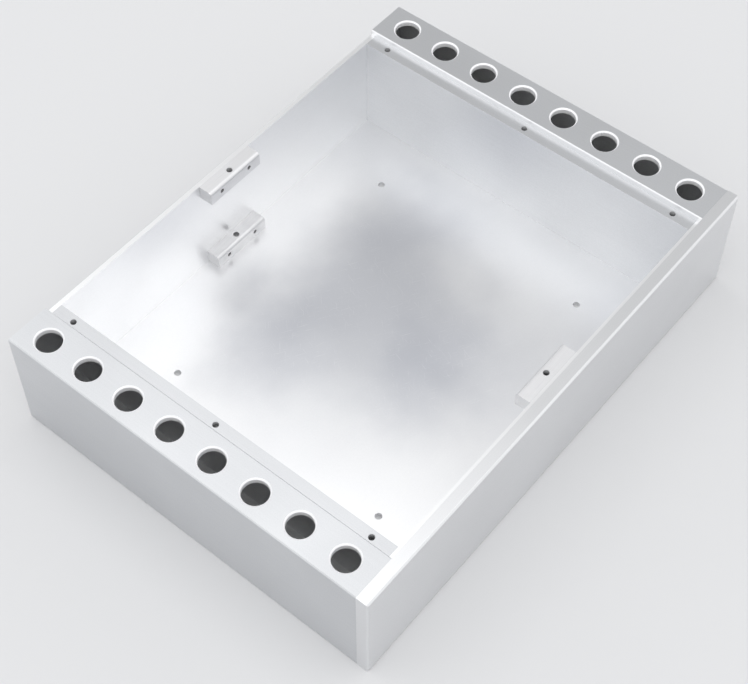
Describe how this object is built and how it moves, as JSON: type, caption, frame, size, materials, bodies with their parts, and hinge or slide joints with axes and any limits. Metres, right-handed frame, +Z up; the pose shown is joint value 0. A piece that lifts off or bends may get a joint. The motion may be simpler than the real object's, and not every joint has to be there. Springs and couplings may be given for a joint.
{
  "type": "equipment chassis",
  "caption": "Open-top rectangular aluminium equipment chassis with a thick front panel, flat floor and hollow side profiles whose decks carry rows of round vents.",
  "frame": {"origin": "centre of the footprint, on the plane that the chassis stands on", "axes": "+X along the case width, towards the right side seen from the front; the front panel faces -Y; +Z up"},
  "size_m": [0.36, 0.268, 0.08],
  "materials": {
    "side_profile": "satin anodised",
    "front_panel": "fine satin anodised",
    "inner_plate": "satin anodised",
    "rear_plate": "satin anodised",
    "floor_plate": "satin anodised with fine handling scratches",
    "tie_block": "extruded and saw cut",
    "screw": "plain machined"
  },
  "bodies": {
    "root": {"left_side_profile": "side_profile", "right_side_profile": "side_profile", "front_panel": "front_panel", "front_inner_plate": "inner_plate", "rear_panel": "rear_plate", "bottom_plate": "floor_plate", "rear_top_block": "tie_block", "rear_bottom_block": "tie_block", "front_top_block": "tie_block", "front_bottom_block": "tie_block", "rear_left_screws": "screw", "rear_right_screws": "screw", "rear_top_block_screws": "screw", "rear_bottom_block_screws": "screw", "bottom_left_screws": "screw", "bottom_right_screws": "screw", "bottom_front_block_screw": "screw", "bottom_rear_block_screw": "screw", "front_panel_left_screws": "screw", "front_panel_right_screws": "screw"}
  },
  "joints": []
}
